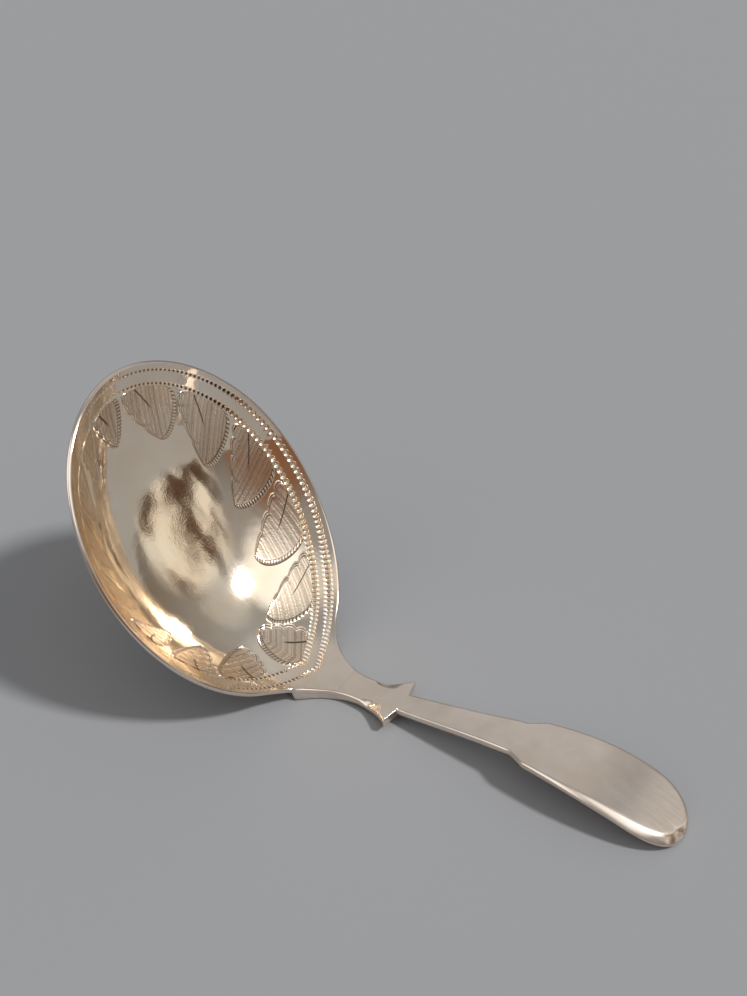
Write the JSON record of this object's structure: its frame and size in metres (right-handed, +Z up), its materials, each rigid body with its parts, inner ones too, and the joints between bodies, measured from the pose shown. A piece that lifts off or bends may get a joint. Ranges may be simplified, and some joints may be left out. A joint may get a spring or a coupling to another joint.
{
  "type": "caddy spoon",
  "caption": "Caddy spoon with a deep oval bowl tilted up from a short arched fiddle handle with spurs at its neck; scoops dry tea leaves",
  "frame": {"origin": "on the table, under the middle of the whole spoon as it rests on its heel and its handle tip", "axes": "+X from the bowl towards the handle tip, +Y across the bowl, +Z up from the table"},
  "size_m": [0.0908, 0.0416, 0.0449],
  "materials": {
    "parcel_gilt_silver": "polished silver with a worn pale gilt wash inside",
    "silver": "polished silver, softly scratched",
    "silver_solder": "filed and polished"
  },
  "bodies": {
    "root": {"bowl": "parcel_gilt_silver", "handle": "silver", "solder_seam": "silver_solder"}
  },
  "joints": []
}
